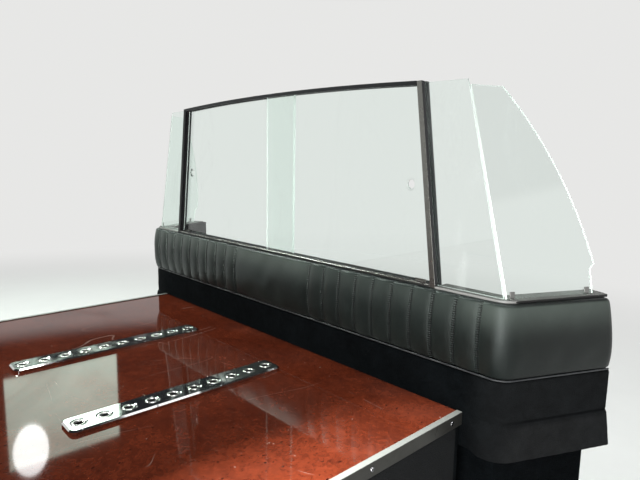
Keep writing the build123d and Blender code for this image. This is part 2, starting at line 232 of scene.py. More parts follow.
class Paint:
    # a material or world under construction
    def __init__(self, name, holder=None):
        self.material = holder or bpy.data.materials.new(name)
        self.material.use_nodes = True
        self.tree = self.material.node_tree
        self.tree.nodes.clear()
        self.place = self.make("ShaderNodeTexCoord", out="Generated" if holder else "Object")

    def make(self, kind, settings=None, sockets=None, out=0):
        node = self.tree.nodes.new(kind)
        for key, value in (settings or {}).items():
            if key == "stops":
                ramp = node.color_ramp
                while len(ramp.elements) < len(value):
                    ramp.elements.new(0.5)
                for element, (spot, colour) in zip(ramp.elements, value):
                    element.position = spot
                    element.color = (*colour, 1)
            else:
                setattr(node, key, value)
        for key, value in (sockets or {}).items():
            if isinstance(value, Wire):
                self.tree.links.new(value.port, node.inputs[key])
            else:
                node.inputs[key].default_value = value
        return Wire(self, node.outputs[out] if node.outputs else None)

    def noise(self, scale, detail=3, rough=0.55, warp=0, at=None, out="Fac"):
        values = {"Vector": at or self.place, "Scale": scale, "Detail": detail}
        values.update({"Roughness": rough, "Distortion": warp})
        return self.make("ShaderNodeTexNoise", None, values, out)

    def cells(self, scale, at=None, feature="F1"):
        values = {"Vector": at or self.place, "Scale": scale}
        return self.make("ShaderNodeTexVoronoi", {"feature": feature}, values, "Distance")

    def fade(self, value, low, high):
        # 0 at low and 1 at high, also where high is the smaller number
        sockets = {"Value": value, "From Min": low, "From Max": high}
        return self.make("ShaderNodeMapRange", {"interpolation_type": "SMOOTHSTEP"}, sockets)

    def ramp(self, value, stops):
        return self.make("ShaderNodeValToRGB", {"stops": stops}, {"Fac": value}, "Color")

    def mix(self, factor, first, second):
        first, second = (v if isinstance(v, Wire) else (*v, 1) for v in (first, second))
        return self.make("ShaderNodeMix", {"data_type": "RGBA"}, {0: factor, 6: first, 7: second}, 2)

    def vector(self, operation, first, second):
        return self.make("ShaderNodeVectorMath", {"operation": operation}, {0: first, 1: second})

    def stretch(self, by, at=None):
        return self.vector("MULTIPLY", at or self.place, by)

    def axis(self, name):
        return self.make("ShaderNodeSeparateXYZ", None, {0: self.place}, name)

    def bump(self, height, distance, strength=1.0, under=None):
        sockets = {"Height": height, "Distance": distance, "Strength": strength}
        if under:
            sockets["Normal"] = under
        return self.make("ShaderNodeBump", None, sockets)

    def seenRay(self):
        # 1 for what the camera sees directly, in a mirror or through glass
        rays = [self.make("ShaderNodeLightPath", out=f"Is {kind} Ray")
                for kind in ("Camera", "Glossy", "Transmission")]
        return (rays[0] + rays[1] + rays[2]) > 0.5

    def shader(self, **sockets):
        named = {}
        for key, value in sockets.items():
            label = key.replace("_", " ").title().replace("Ior", "IOR")
            if label in ("Base Color", "Sheen Tint", "Specular Tint", "Coat Tint"):
                value = value if isinstance(value, Wire) else (*value, 1)
            named[label] = value
        return self.make("ShaderNodeBsdfPrincipled", None, named)

    def finish(self, surface):
        self.make("ShaderNodeOutputMaterial", None, {"Surface": surface})
        return self.material

    def done(self, **sockets):
        return self.finish(self.shader(**sockets))


burlLook = {
    "stops": [
        (0.30, (0.024, 0.0045, 0.002)),
        (0.42, (0.045, 0.0080, 0.0035)),
        (0.52, (0.070, 0.0125, 0.005)),
        (0.62, (0.102, 0.0185, 0.0075)),
        (0.76, (0.172, 0.035, 0.013)),
    ],
    "eye": (0.008, 0.002, 0.0015),
    "glint": (0.19, 0.040, 0.015),
    "dust": (0.42, 0.36, 0.32),
    "lacquer": 0.84,
    "edge": 0.0011,  # the plywood's edge starts this far below the top
    "ply": [(0.0, (0.30, 0.19, 0.10)), (0.5, (0.52, 0.37, 0.22)), (1.0, (0.62, 0.47, 0.30))],
}


def burlPaint():
    p = Paint("burlLaminate")
    drift = p.noise(6, 3, out="Color")
    bent = p.vector("ADD", p.place, p.stretch((0.05, 0.05, 0), drift))
    clouds = p.noise(7, 4, 0.55, 0.5, bent)
    mottle = p.noise(60, 6, 0.66, 1.2, bent)
    grain = p.noise(260, 4, 0.62, 0.8, p.stretch((1, 0.5, 1), bent))
    tone = clouds * 0.30 + mottle * 0.42 + grain * 0.18 + 0.05
    wood = p.ramp(tone, burlLook["stops"])
    # dark eyes and dashes crowd together in clusters
    eyePlace = p.stretch((1, 0.7, 1), bent)
    eyes = p.fade(p.cells(80, eyePlace), 0.17, 0.10) * p.fade(p.noise(16, 3, 0.6, 0, bent), 0.44, 0.52)
    dashPlace = p.stretch((0.5, 1.7, 1), bent)
    dashes = p.fade(p.cells(130, dashPlace), 0.20, 0.09) * p.fade(p.noise(21, 3, 0.6, 0, bent), 0.55, 0.62)
    wood = p.mix(eyes * 0.95 + dashes * 0.85, wood, burlLook["eye"])
    glints = p.fade(p.noise(330, 3, 0.6, 0.4, bent), 0.58, 0.72) * p.fade(mottle, 0.45, 0.62)
    wood = p.mix(glints * 0.22, wood, burlLook["glint"])
    # nicks, hair scratches and dust on the lacquer
    nicks = p.fade(p.cells(46), 0.070, 0.04) * p.fade(p.noise(7, 2), 0.53, 0.62)
    specks = p.fade(p.cells(210), 0.16, 0.08) * p.fade(p.noise(4.5, 3, 0.7), 0.60, 0.70)
    hairs = p.fade(abs(p.noise(4.2, 2, 0.4, 0.3, p.stretch((1, 0.35, 1))) - 0.5), 0.0010, 0.0)
    hairs = hairs * p.fade(p.noise(6, 2), 0.50, 0.58)
    strokes = p.fade(abs(p.noise(3.1, 2, 0.4, 0.2, p.stretch((0.45, 1.2, 1))) - 0.5), 0.0009, 0.0)
    strokes = strokes * p.fade(p.noise(9, 2), 0.56, 0.64)
    haze = p.fade(p.noise(3.4, 4, 0.6, 0.6), 0.42, 0.75)
    worn = nicks * 0.5 + specks * 0.5 + hairs * 0.28 + strokes * 0.25 + haze * 0.012
    wood = p.mix(worn, wood, burlLook["dust"])
    layers = p.noise(260, 2, 0.5, 0, p.stretch((0.02, 0.02, 1)))
    ply = p.ramp(layers * 0.7 + p.noise(60, 4, 0.6, 0, p.stretch((0.3, 0.06, 1))) * 0.3, burlLook["ply"])
    top = p.axis("Z") > deckTop - burlLook["edge"]
    colour = p.mix(top, ply, wood)
    rough = top * (0.34 - 0.72) + 0.72 + haze * 0.06
    height = p.noise(22, 2, 0.5) * 0.6 + p.noise(75, 2, 0.5) * 0.25 + nicks * -0.3
    coat = top * (burlLook["lacquer"] - nicks * 0.7 - haze * 0.25)
    normal = p.bump(height, 0.0006, 0.35)
    return p.done(
        base_color=colour, roughness=rough, coat_weight=coat, coat_roughness=0.045,
        coat_ior=1.5, specular_ior_level=0.0, normal=normal,
    )


carpetLook = {
    "dark": (0.0008, 0.0013, 0.0016),
    "light": (0.0064, 0.0088, 0.0104),
    "paintedDaylight": (0.060, 0.060, 0.060),
    "lint": (0.10, 0.098, 0.095),
    "wing": (0.57, 0.67),  # half width over which the wings' painted daylight sets in
    "foldWing": (0.655, 0.69),  # and the same for what lies below their fold
    "fold": (0.330, 0.318),  # height of the fold, and where the painted daylight below it is full
    # height of the painted shade line along the fold
    "crease": 0.332,
}


def carpetPaint(name, paintedDaylightShare):
    p = Paint(name)
    tufts = p.cells(620)
    fibres = p.noise(1500, 3, 0.7, 0.6)
    nap = p.noise(46, 4, 0.6, 0.8)
    patches = p.noise(8, 3, 0.6, 0.4)
    tone = fibres * 0.55 + nap * 0.3 + patches * 0.3 - tufts * 0.12
    colour = p.mix(p.fade(tone, 0.34, 0.78), carpetLook["dark"], carpetLook["light"])
    # painted daylight: the carpet is painted lighter on the deck's walls, on the wings and below their fold,
    # as if lit there
    x, z = abs(p.axis("X")), p.axis("Z")
    wings = p.fade(x, *carpetLook["wing"])
    walls = p.axis("Y") < lineY - 0.02
    below = p.fade(z, *carpetLook["fold"]) * p.fade(x, *carpetLook["foldWing"])
    paintedDaylight = wings * (0.10 + nap * 0.12) + walls * (0.16 + fibres * 0.22) + below * (0.05 + nap * 0.12)
    colour = p.mix(paintedDaylight * paintedDaylightShare, colour, carpetLook["paintedDaylight"])
    # painted shade: a dark line along the wings' fold
    crease = p.fade(abs(z - carpetLook["crease"]), 0.0040, 0.0010) * p.fade(x, *carpetLook["foldWing"])
    colour = p.mix(crease * 0.6, colour, carpetLook["dark"])
    lint = p.fade(p.cells(70), 0.055, 0.03) * p.fade(p.noise(9, 2), 0.55, 0.65)
    colour = p.mix(lint * 0.6, colour, carpetLook["lint"])
    height = fibres * 0.6 + nap * 0.5 - tufts * 0.9
    return p.done(
        base_color=colour, roughness=0.97, sheen_weight=0.012, sheen_roughness=0.5,
        sheen_tint=(0.75, 0.77, 0.8), specular_ior_level=0.02, normal=p.bump(height, 0.0022, 0.9),
    )


leatherLook = {
    "dark": (0.0060, 0.0094, 0.0087),
    "light": (0.0130, 0.0186, 0.0172),
    "wear": (0.045, 0.047, 0.045),
    # painted highlight colour of the top-lit upper half
    "dust": (0.088, 0.106, 0.094),
    "paintedWingShade": (0.006, 0.005, 0.005),
    "wing": (0.62, 0.70),  # x over which the right wing is painted darker, a painted shade
    "topLightCut": [(0.13, 0.19), (0.62, 0.55)],  # x over which the painted top light thins out, from either side
    "pucker": 0.0011,
}


def leatherPaint():
    p = Paint("grainedLeather")
    bent = p.vector("ADD", p.place, p.stretch((0.0016, 0.0016, 0.0016), p.noise(260, 2, out="Color")))
    grain = p.cells(880, bent, "DISTANCE_TO_EDGE")
    pores = p.cells(1500)
    cloud = p.noise(14, 4, 0.6, 0.4)
    crease = p.noise(70, 4, 0.65, 1.2)
    colour = p.mix(p.fade(cloud * 0.7 + crease * 0.3, 0.35, 0.68), leatherLook["dark"], leatherLook["light"])
    wear = p.fade(p.noise(160, 3, 0.6), 0.62, 0.8)
    colour = p.mix(wear * 0.25, colour, leatherLook["wear"])
    # the thread draws the leather into small puckers on both sides of a seam, most on its left
    x = p.axis("X")
    side = (x > 0) * 2 - 1
    beside = p.make("ShaderNodeMath", {"operation": "FRACT"}, {
        0: (x - side * padShape["seamFirst"]) * (1 / padShape["pitch"]) + 0.5})
    beside = (beside - 0.5) * padShape["pitch"]
    drawn = p.fade(abs(beside + 0.0016), 0.0052, 0.0012)
    drawn = drawn * p.fade(abs(x), padShape["seamFirst"] - 0.012, padShape["seamFirst"] - 0.008)
    drawn = drawn * p.fade(abs(x), seams[-1] + 0.012, seams[-1] + 0.008)
    beat = p.make("ShaderNodeMath", {"operation": "SINE"}, {
        0: (p.axis("Z") - padBottom - stitchLook["first"]) * (2 * pi / stitchLook["pitch"])})
    puckers = drawn * beat * -1
    # painted shade: the right wing's leather is painted darker
    colour = p.mix(p.fade(x, *leatherLook["wing"]) * 0.6, colour, leatherLook["paintedWingShade"])
    # painted light: the upper half is painted paler, as if lit from above
    paintedTopLight = p.fade(p.axis("Z"), padBottom + 0.055, padTop - 0.004)
    fromLeft, fromRight = leatherLook["topLightCut"]
    topLightCut = p.fade(x, *fromLeft) * p.fade(x, *fromRight) * 0.6
    paintedTopLight = paintedTopLight ** 1.7 * p.fade(p.axis("Z"), padTop - 0.0012, padTop - 0.0065)
    colour = p.mix(paintedTopLight * (0.46 + cloud * 0.5) * (1 - topLightCut), colour, leatherLook["dust"])
    height = p.fade(grain, 0.0, 0.16) * 0.75 + pores * 0.18 + crease * 0.3
    rough = 0.27 + cloud * 0.10 + p.fade(grain, 0.12, 0.0) * 0.12
    return p.done(
        base_color=colour, roughness=rough, specular_ior_level=0.30,
        specular_tint=(0.90, 1.0, 0.96),
        normal=p.bump(height, 0.00014, 0.5, p.bump(puckers, leatherLook["pucker"])),
    )


def weltPaint():
    p = Paint("coveredWelt")
    grain = p.cells(1100, feature="DISTANCE_TO_EDGE")
    cloud = p.noise(60, 3)
    colour = p.mix(p.fade(cloud, 0.35, 0.65), (0.034, 0.037, 0.040), (0.062, 0.066, 0.068))
    return p.done(
        base_color=colour, roughness=0.42 + cloud * 0.12, normal=p.bump(grain, 0.00015, 0.6)
    )


def threadPaint():
    p = Paint("seamThread")
    twist = p.noise(900, 2, 0.5, 0, p.stretch((1, 1, 2.2)))
    colour = p.mix(twist, (0.003, 0.003, 0.003), (0.010, 0.010, 0.010))
    return p.done(base_color=colour, roughness=0.6, normal=p.bump(twist, 0.0002, 0.5))


def metalPaint(name, colour, rough, brush=None, smudge=0.06, scratch=0.5, specks=1.0, metal=1.0):
    # brush stretches the fine lines of a satin finish along one axis
    p = Paint(name)
    cloud = p.noise(16, 4, 0.6, 0.6)
    marks = p.fade(abs(p.noise(9, 3, 0.5, 0.8, p.stretch((1, 2.2, 1.6))) - 0.5), 0.004, 0.0)
    marks = marks * p.fade(p.noise(30, 2), 0.5, 0.62)
    spots = p.fade(p.cells(190), 0.09, 0.05) * p.fade(p.noise(22, 2), 0.56, 0.66) * specks
    fine = p.noise(320, 3, 0.6, 0, p.stretch(brush)) if brush else p.noise(420, 2)
    roughness = rough + p.fade(cloud, 0.42, 0.72) * smudge + marks * 0.25 * scratch
    roughness = roughness + spots * 0.2 + (fine - 0.5) * (0.16 if brush else 0.02)
    dull = tuple(v * 0.72 for v in colour)
    tint = p.mix(p.fade(cloud, 0.35, 0.8) * 0.35 + marks * 0.3 * scratch + spots * 0.5, colour, dull)
    height = fine * (0.6 if brush else 0.1) - marks * 0.4 * scratch - spots * 0.3
    return p.done(
        base_color=tint, metallic=metal, roughness=roughness,
        normal=p.bump(height, 0.00008 if brush else 0.00004, 0.5),
    )


def plywoodPaint():
    p = Paint("plainPlywood")
    grain = p.noise(55, 5, 0.6, 0.5, p.stretch((0.06, 1, 1)))
    rings = p.noise(6, 3, 0.5, 2.0, p.stretch((0.12, 1, 1)))
    stops = [(0.25, (0.34, 0.21, 0.11)), (0.5, (0.50, 0.35, 0.20)), (0.8, (0.60, 0.45, 0.28))]
    colour = p.ramp(grain * 0.6 + rings * 0.4, stops)
    return p.done(
        base_color=colour, roughness=0.62 + grain * 0.15, normal=p.bump(grain, 0.0004, 0.5)
    )


def ledgePaint():
    p = Paint("grainedLedge")
    grain = p.cells(760, feature="SMOOTH_F1")
    cloud = p.noise(20, 4, 0.6, 0.5)
    dust = p.fade(p.noise(5, 4, 0.65), 0.48, 0.72) * p.fade(p.cells(420), 0.30, 0.12)
    colour = p.mix(cloud, (0.062, 0.062, 0.058), (0.100, 0.100, 0.094))
    colour = p.mix(dust * 0.35, colour, (0.34, 0.33, 0.31))
    return p.done(
        base_color=colour, roughness=0.52 + cloud * 0.14, normal=p.bump(grain, 0.0004, 0.8)
    )


def pilePaint():
    p = Paint("channelPile")
    fibres = p.noise(1700, 3, 0.7)
    colour = p.mix(p.fade(fibres, 0.35, 0.7), (0.005, 0.005, 0.006), (0.022, 0.022, 0.023))
    return p.done(
        base_color=colour, roughness=0.95, sheen_weight=0.15, specular_ior_level=0.1,
        normal=p.bump(fibres, 0.0008, 0.8),
    )


def rubberPaint(name, middle, half):
    # a rubber sleeve, with bare steel beyond it on the axle's stubs
    p = Paint(name)
    lines = p.noise(700, 2, 0.5, 0, p.stretch((1, 0.02, 0.02)))
    cloud = p.noise(40, 4, 0.6, 0.7)
    dust = p.fade(cloud, 0.46, 0.72) * 0.4 + p.fade(p.cells(300), 0.16, 0.08) * 0.3
    sleeve = p.mix(dust, (0.016, 0.016, 0.017), (0.10, 0.098, 0.094))
    steel = abs(p.axis("X") - middle) > half
    colour = p.mix(steel, sleeve, (0.56, 0.56, 0.57))
    rough = 0.55 + cloud * 0.15 - steel * 0.32
    return p.done(
        base_color=colour, metallic=steel, roughness=rough,
        normal=p.bump(lines * 0.6 + cloud * 0.4, 0.0002, 0.5),
    )


def clearWhenShadowed(paint, surface):
    # daylight passes through a pane instead of leaving a black shadow
    clear = paint.make("ShaderNodeBsdfTransparent", None, {"Color": (0.93, 0.96, 0.95, 1)})
    shadow = paint.make("ShaderNodeLightPath", out="Is Shadow Ray")
    return paint.make("ShaderNodeMixShader", None, {0: shadow, 1: surface, 2: clear})


def glassPaint(name, smears):
    p = Paint(name)
    smear = p.fade(p.noise(6, 5, 0.62, 1.4, p.stretch((1, 1, 0.45))), 0.50, 0.78)
    specks = p.fade(p.cells(150), 0.08, 0.04) * p.fade(p.noise(14, 2), 0.5, 0.66)
    glass = p.shader(
        base_color=(0.905, 0.970, 0.940), roughness=0.0, transmission_weight=1.0, ior=1.45
    )
    film = p.shader(base_color=(0.55, 0.57, 0.56), roughness=0.85)
    dusty = p.make("ShaderNodeMixShader", None, {0: smear * smears + specks * 0.35, 1: glass, 2: film})
    return p.finish(clearWhenShadowed(p, dusty))


def edgePaint():
    # ground and polished edge of a pane; its pale colour is partly a painted highlight for the light
    # gathered in the edge
    p = Paint("groundEdgeWithHighlight")
    frost = p.noise(300, 3, 0.6)
    colour = p.mix(frost, (0.62, 0.72, 0.66), (0.90, 0.95, 0.92))
    surface = p.shader(
        base_color=colour, roughness=0.18 + frost * 0.12, transmission_weight=0.12,
        coat_weight=0.8, coat_roughness=0.05,
    )
    return p.finish(clearWhenShadowed(p, surface))


def plainPaint(name, colour, rough, scale, depth):
    p = Paint(name)
    grain = p.noise(scale, 4, 0.6)
    dull = tuple(v * 0.93 for v in colour)
    return p.done(
        base_color=p.mix(grain, dull, colour), roughness=rough, normal=p.bump(grain, depth, 0.3)
    )


paints = {
    "burl": burlPaint(),
    # the same carpet with and without its painted daylight
    "carpet": carpetPaint("shortCarpet", 1.0),
    "cabCarpet": carpetPaint("cabCarpet", 0.0),
    "leather": leatherPaint(),
    "welt": weltPaint(),
    "thread": threadPaint(),
    "plywood": plywoodPaint(),
    "ledge": ledgePaint(),
    "pile": pilePaint(),
    # lit and shaded copies of the trim's aluminium: the top leg is painted lighter, the side leg darker as
    # painted shade
    "trimLitTop": metalPaint(
        "satinTrim", (0.25, 0.26, 0.24), 0.40,
        brush=(0.6, 0.02, 1), smudge=0.10, scratch=0.8, metal=0.5,
    ),
    "trimShadedSide": metalPaint(
        "trimSidePaintedShade", (0.060, 0.059, 0.053), 0.42,
        brush=(1, 0.02, 1), smudge=0.12, scratch=1.0, metal=0.6,
    ),
    "chrome": metalPaint("plateChrome", (0.76, 0.77, 0.76), 0.045, smudge=0.07, scratch=0.2, specks=0.15),
    "eyelet": metalPaint("eyeletSteel", (0.80, 0.80, 0.77), 0.24, smudge=0.07, scratch=0.2, specks=0.2),
    "clip": metalPaint("clipSteel", (0.30, 0.30, 0.29), 0.30, smudge=0.1, scratch=0.3),
    "railMetal": metalPaint(
        "railMetal", (0.11, 0.11, 0.105), 0.34,
        brush=(0.03, 1, 1), smudge=0.10, scratch=0.4, specks=0.3,
    ),
    # painted shade: the left post gets a darker copy of the post metal
    "darkPost": metalPaint(
        "darkPost", (0.030, 0.034, 0.033), 0.30,
        brush=(1, 1, 0.03), smudge=0.10, scratch=0.4, specks=0.3,
    ),
    "postMetal": metalPaint(
        "postMetal", (0.21, 0.21, 0.195), 0.26,
        brush=(1, 1, 0.03), smudge=0.10, scratch=0.4, specks=0.3,
    ),
    "bead": metalPaint("railBead", (0.32, 0.32, 0.30), 0.25, smudge=0.08, scratch=0.3, specks=0.3),
    "zinc": metalPaint("zincSteel", (0.58, 0.59, 0.60), 0.30, smudge=0.16, scratch=0.7),
    "turned": metalPaint("turnedSteel", (0.62, 0.62, 0.62), 0.20, brush=(3, 0.01, 0.01), smudge=0.08),
    "screw": metalPaint("screwSteel", (0.42, 0.42, 0.43), 0.14, smudge=0.10, scratch=0.2),
    # painted shade for the sunk crosses of the screws
    "recessShade": plainPaint("screwRecessShade", (0.015, 0.015, 0.015), 0.5, 800, 0.0001),
    "glass": glassPaint("slidingGlass", 0.035),
    "sideGlass": glassPaint("fixedGlass", 0.075),
    "edge": edgePaint(),
    "blackAluminium": metalPaint(
        "blackAluminium", (0.035, 0.036, 0.038), 0.34,
        brush=(0.02, 1, 1), smudge=0.1,
    ),
    "gasket": plainPaint("gasketRubber", (0.012, 0.012, 0.012), 0.6, 500, 0.0001),
    # painted highlight for a ledge's upright edges
    "ledgeEdgeHighlight": plainPaint("ledgeEdgeHighlight", (0.34, 0.34, 0.325), 0.38, 420, 0.0001),
    # painted shade for the pin holes
    "holeShade": plainPaint("pinHoleShadePaint", (0.006, 0.006, 0.006), 0.7, 600, 0.0001),
}
print("materials", len(paints))


# Mesh helpers


def newPiece(name, points, faces, materials, smooth=True, faceMaterials=None):
    mesh = bpy.data.meshes.new(name)
    mesh.from_pydata([tuple(v) for v in points], [], faces)
    for material in materials:
        mesh.materials.append(material)
    if faceMaterials is not None:
        mesh.polygons.foreach_set("material_index", faceMaterials)
    mesh.polygons.foreach_set("use_smooth", [smooth] * len(mesh.polygons))
    mesh.update()
    piece = bpy.data.objects.new(name, mesh)
    scene.collection.objects.link(piece)
    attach(piece, "bay")
    return piece


def gridFaces(rows, columns, closed=False):
    # rows run round the section, columns along the piece
    faces = []
    for r in range(rows if closed else rows - 1):
        low, high = r * columns, ((r + 1) % rows) * columns
        faces += [(low + c, low + c + 1, high + c + 1, high + c) for c in range(columns - 1)]
    return faces


def capFaces(rows, columns, column, hub, flip):
    # a fan from the hub point over one end of a closed grid
    ring = [r * columns + column for r in range(rows)]
    pairs = zip(ring, ring[1:] + ring[:1])
    return [(b, a, hub) if flip else (a, b, hub) for a, b in pairs]


def tubeFaces(base, rings, sides, capped=True):
    # rings of points, one after another from base, with a face over either end
    faces = []
    for r in range(rings - 1):
        for k in range(sides):
            a, b = base + r * sides + k, base + r * sides + (k + 1) % sides
            faces.append((a, b, b + sides, a + sides))
    if capped:
        last = base + (rings - 1) * sides
        faces.append(tuple(base + k for k in range(sides - 1, -1, -1)))
        faces.append(tuple(last + k for k in range(sides)))
    return faces


def waves(a, b, scale, seed):
    # smooth seeded unevenness between about -1 and 1
    count = 9
    pick = np.random.default_rng(seed)
    total = np.zeros(np.broadcast(a, b).shape)
    for _ in range(count):
        angle, phase, pace = pick.uniform(0, 2 * pi, 2).tolist() + [pick.uniform(0.6, 1.7)]
        total += np.sin((a * cos(angle) + b * sin(angle)) * 2 * pi * pace / scale + phase)
    return total / sqrt(count)


def swept(name, along, section, place, material):
    # section: closed (rows, 2) of depth and height; place gives points for a grid
    rows, columns = len(section), len(along)
    points = place(along[None, :], section[:, 0][:, None], section[:, 1][:, None])
    flat = points.reshape(-1, 3)
    hubs = [points[:, 0].mean(0), points[:, -1].mean(0)]
    faces = gridFaces(rows, columns, closed=True)
    faces += capFaces(rows, columns, 0, len(flat), True)
    faces += capFaces(rows, columns, columns - 1, len(flat) + 1, False)
    flat = np.vstack([flat, hubs])
    return newPiece(name, flat, faces, [material])


# Pleated pad

def padSection():
    # depth and height round the pad, from the front bottom by the rear face to the front top
    low, high, back = padBottom + 0.0004, padTop, -padProud
    front, r1, r2 = padShape["front"], padShape["bottomRound"], padShape["topRound"]
    points = [(front - 0.0002, low + 0.0002)]
    points += [(d, low) for d in np.linspace(front - 0.002, back + r1 * 1.05, 4)]
    points += [(back + r1 - r1 * sin(a), low + r1 - r1 * cos(a)) for a in np.linspace(0.08, pi / 2, 9)]
    points += [(back, z) for z in np.linspace(low + r1 + 0.003, high - r2 - 0.003, 30)]
    points += [(back + r2 - r2 * cos(a), high - r2 + r2 * sin(a)) for a in np.linspace(0, pi / 2, 16)]
    points += [(d, high) for d in np.linspace(back + r2 * 1.1, front - 0.002, 5)]
    points += [(front - 0.0002, high - 0.0002), (front, high - 0.04), (front, low + 0.04)]
    return np.array(points)


def seamProfile(along):
    # 1 on the crown of a pleat and 0 on a seam; a flat panel dips lower at its end seam
    s = np.abs(along)
    first, last = seams[0], seams[-1]
    pleat = np.clip((s - first) / padShape["pitch"], 0, padShape["pleats"] - 1e-6)
    index = np.floor(pleat)
    skew = 0.05 * np.sin(index * 2.7 + np.where(along < 0, 1.3, 0)) * np.sin((pleat - index) * pi)
    f = np.clip(pleat - index + skew, 0, 1)
    puff = 1 - np.abs(2 * f - 1) ** padShape["fullness"]
    puff = puff * (1 + 0.12 * np.sin(index * 4.1 + np.where(along < 0, 0.7, 2.0)))
    panel = 1 - padShape["panelDip"] * np.exp(-np.maximum(first - s, 0) / padShape["panelFade"])
    wing = 1 - np.exp(-np.maximum(s - last, 0) / padShape["wingFade"])
    return np.where(s < first, panel, np.where(s > last, wing, puff))


def seamDistance(along):
    s = np.abs(along)[..., None]
    return np.min(np.abs(s - np.array(seams)), axis=-1)


def padPoints(along, depth, height):
    along, depth, height = np.broadcast_arrays(along, depth, height)
    low, high, back = padBottom, padTop, -padProud
    middle, half = (low + high) / 2, (high - low) / 2
    q = np.clip((height - middle) / half, -1, 1)
    inside = depth - back
    rear = np.clip(1 - inside / padShape["softDepth"], 0, 1)  # 1 on the rear face, 0 well inside
    profile = seamProfile(along)
    rise = padShape["crown"] * (1 - np.abs(q) ** np.where(q > 0, 1.9, 2.6))
    puff = padShape["seamDepth"] * (profile - 1) + rise
    near = seamDistance(along)
    draw = waves(along * 0.8, height * 1.4, 0.030, 3) * np.exp(-near / 0.012) * padShape["draw"]
    swell = waves(along, height * 1.2, 0.11, 5) * padShape["swell"]
    puff = (puff + draw + swell) * rear
    upper = np.clip((height - (high - padShape["topRound"])) / padShape["topRound"], 0, 1)
    lift = -0.0008 * (1 - np.clip(profile, 0, 1)) ** 2 * upper * np.clip(1 - inside / 0.020, 0, 1)
    # the wing's end rounds over and slants
    end = halfLength - np.abs(along)
    over = np.clip(1 - end / padShape["endRound"], 0, 1)
    recede = (1 - np.sqrt(np.clip(1 - over**2, 0, 1))) * padShape["endRound"] * 0.62
    corner = padShape["endRound"]
    into = np.clip(corner - end, 0, corner)
    top = (high - low) - (corner - np.sqrt(np.clip(corner**2 - into**2, 0, None))) * 0.8
    z = low + (height - low) * top / (high - low) + lift
    slant = padShape["endSlant"] * (height - low) / (high - low) * np.clip(1 - end / 0.12, 0, 1) ** 2
    s = np.sign(along) * (np.abs(along) - slant)
    x, y = partitionPoint(s, depth - puff + recede * np.clip(1 - inside / 0.034, 0, 1))
    return np.stack([x, y, z], axis=-1)


def padColumns():
    # close together at the seams and round the bend
    half = [*np.linspace(0, seams[0] - 0.02, 14, endpoint=False)]
    half += [*np.linspace(seams[0] - 0.02, seams[0], 10, endpoint=False)]
    spread = np.linspace(-1, 1, 27)[:-1]
    spread = 0.5 + 0.5 * np.sign(spread) * (1 - (1 - np.abs(spread)) ** 1.35)
    for start in seams[:-1]:
        half += [*(start + spread * padShape["pitch"])]
    half += [*np.linspace(seams[-1], seams[-1] + 0.03, 14, endpoint=False)]
    half += [*np.linspace(seams[-1] + 0.03, halfLength - 0.02, 46, endpoint=False)]
    half += [*(halfLength - 0.02 * (1 - np.linspace(0, 1, 14)) ** 1.6)]
    half = np.array(half)
    return np.concatenate([-half[:0:-1], half])


clothLook = {
    "frames": 20,
    "pressure": 1.4,
    "slack": 0.003,
    "cap": 0.0018,  # no point of the cover moves further
    "step": 0.0068,
    "quality": 6,
    "bending": 6.0,
    "smoothings": 5,
}
padCover = {}  # the finished rear face, which the stitches lie on


def settlePad(section):
    # the cover as cloth, held along its seams and edges and blown up from inside
    step = clothLook["step"]
    stops = [0, *seams, straightHalf, straightHalf + bendLength, halfLength - 0.004, halfLength]
    half = [0.0]
    for start, end in zip(stops, stops[1:]):
        half += [*np.linspace(start, end, max(2, round((end - start) / step) + 1))[1:]]
    along = np.concatenate([-np.array(half[:0:-1]), half])
    points = padPoints(along[None, :], section[:, 0][:, None], section[:, 1][:, None])
    rows, columns = points.shape[:2]
    mesh = bpy.data.meshes.new("coverCloth")
    mesh.from_pydata([tuple(v) for v in points.reshape(-1, 3)], [], gridFaces(rows, columns, True))
    piece = bpy.data.objects.new("coverCloth", mesh)
    scene.collection.objects.link(piece)
    onFace = (section[:, 0] == -padProud) & (section[:, 1] > padBottom + 0.012)
    loose = onFace[:, None] & (seamDistance(along) > 0.0005)[None, :]
    loose &= (np.abs(along) < halfLength - 0.003)[None, :]
    pins = piece.vertex_groups.new(name="held")
    pins.add([int(i) for i in np.flatnonzero(~loose.ravel())], 1.0, "REPLACE")
    cloth = piece.modifiers.new("cloth", "CLOTH").settings
    cloth.vertex_group_mass = "held"
    cloth.quality = clothLook["quality"]
    cloth.bending_stiffness = clothLook["bending"]
    cloth.use_pressure = True
    cloth.uniform_pressure_force = clothLook["pressure"]
    cloth.shrink_min = -clothLook["slack"]
    cloth.effector_weights.gravity = 0
    for number in range(1, clothLook["frames"] + 1):
        scene.frame_set(number)
    settled = piece.evaluated_get(bpy.context.evaluated_depsgraph_get())
    moved = np.empty(rows * columns * 3)
    settled.data.vertices.foreach_get("co", moved)
    moves = moved.reshape(rows, columns, 3) - points
    far = np.linalg.norm(moves, axis=2, keepdims=True)
    moves *= clothLook["cap"] * np.tanh(far / clothLook["cap"]) / np.maximum(far, 1e-9)
    for _ in range(clothLook["smoothings"]):
        moves[1:-1] = (moves[:-2] + moves[1:-1] * 2 + moves[2:]) / 4
        moves[:, 1:-1] = (moves[:, :-2] + moves[:, 1:-1] * 2 + moves[:, 2:]) / 4
        moves[~loose] = 0
    bpy.data.objects.remove(piece)
    bpy.data.meshes.remove(mesh)
    scene.frame_set(1)
    print("cover settled", round(float(far.max()), 4), round(float(far[loose].mean()), 4))
    return along, moves


